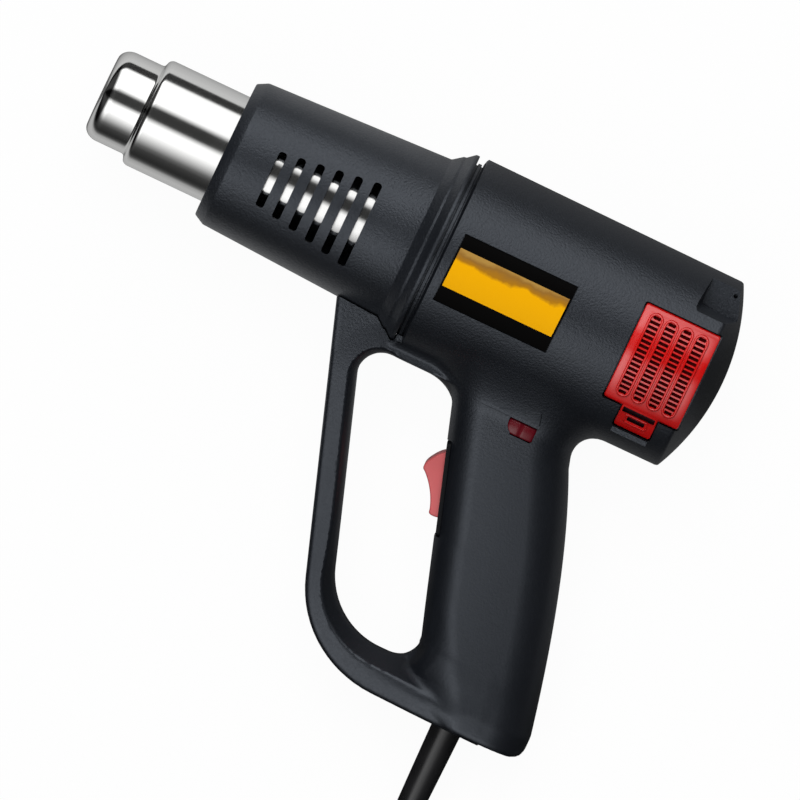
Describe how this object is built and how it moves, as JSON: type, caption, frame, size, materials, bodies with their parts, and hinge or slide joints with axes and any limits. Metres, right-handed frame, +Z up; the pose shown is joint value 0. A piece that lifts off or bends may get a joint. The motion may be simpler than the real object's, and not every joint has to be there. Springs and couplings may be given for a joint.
{
  "type": "hot air tool",
  "caption": "Mains hot air gun: slotted black barrel with a polished stepped nozzle, red snap-in air filter, closed D-shaped handle with rocker switch and heat wheel, cord wound up",
  "frame": {"origin": "on the bench, under the middle of the tool's bounding box without its cord, as it lies on its right side", "axes": "+X runs back along the barrel from nozzle to rear, +Y points away from the handle, +Z is up, out of the tool's left side"},
  "size_m": [0.3469, 0.3548, 0.0741],
  "materials": {
    "black_plastic": "matte, fine spark-eroded grain",
    "inner_plastic": "satin",
    "polished_steel": "polished",
    "mica": "matte mineral board",
    "heater_alloy": "oxidised wire",
    "plain_steel": "zinc plated",
    "bronze": "sintered",
    "pale_nylon": "satin",
    "board_green": "lacquered board",
    "crimson_plastic": "satin",
    "coral_plastic": "satin",
    "red_plastic": "semi-gloss",
    "filter_gauze": "fine woven gauze",
    "label_yellow": "printed foil, yellow band between black ones",
    "black_rubber": "satin",
    "tie_strap": "hook and loop strap",
    "nickel": "nickel plated"
  },
  "bodies": {
    "housing": {"housing_left": "black_plastic", "housing_right": "black_plastic", "front_shroud": "black_plastic", "nozzle_tube": "polished_steel", "mica_sleeve": "mica", "heater_former": "mica", "heater_coil": "heater_alloy", "thermal_fuse": "pale_nylon", "fan_duct": "inner_plastic", "motor_can": "plain_steel", "motor_end_cap": "pale_nylon", "front_bush": "bronze", "rear_bush": "bronze", "control_board": "board_green", "potentiometer": "pale_nylon", "switch_body": "inner_plastic", "switch_bezel": "inner_plastic", "rocker_pin": "plain_steel", "label_plate": "label_yellow", "housing_screw_1": "plain_steel", "housing_screw_2": "plain_steel", "housing_screw_3": "plain_steel", "housing_screw_4": "plain_steel", "housing_screw_5": "plain_steel", "housing_screw_6": "plain_steel", "terminal_block": "pale_nylon", "cord_inner": "black_rubber", "cord_clamp": "pale_nylon", "clamp_screw_1": "plain_steel", "clamp_screw_2": "plain_steel", "strain_relief": "black_rubber", "cord_lead": "black_rubber", "cord_coil": "black_rubber", "cord_tie": "tie_strap", "cord_tail": "black_rubber", "plug": "black_rubber", "plug_pin_1": "nickel", "plug_pin_2": "nickel"},
    "rocker": {"rocker_button": "coral_plastic"},
    "heat_wheel": {"temperature_wheel": "crimson_plastic"},
    "rotor": {"fan_impeller": "pale_nylon", "motor_shaft": "plain_steel", "motor_armature": "plain_steel"},
    "filter_left": {"filter_cover_left": "red_plastic", "filter_mesh_left": "filter_gauze"},
    "filter_right": {"filter_cover_right": "red_plastic", "filter_mesh_right": "filter_gauze"}
  },
  "joints": [
    {"name": "rocker_tip", "type": "hinge", "parent": "housing", "child": "rocker", "pos_m": [0.05189, -0.01608, 0.02848], "axis": [0, 0.1132, -0.9936], "range_deg": [0, 25]},
    {"name": "heat_wheel_turn", "type": "hinge", "parent": "housing", "child": "heat_wheel", "pos_m": [0.06515, 0.01498, 0.03202], "axis": [0, 0.9936, 0.1132], "range_deg": [-135, 135]},
    {"name": "fan_spin", "type": "hinge", "parent": "housing", "child": "rotor", "pos_m": [0.05615, 0.05929, 0.03707], "axis": [1, 0, 0], "continuous": true},
    {"name": "filter_left_pull", "type": "slide", "parent": "housing", "child": "filter_left", "axis": [0, -0.1132, 0.9936], "range_m": [0, 0.025]},
    {"name": "filter_right_pull", "type": "slide", "parent": "housing", "child": "filter_right", "axis": [0, 0.1132, -0.9936], "range_m": [0, 0.025]}
  ]
}
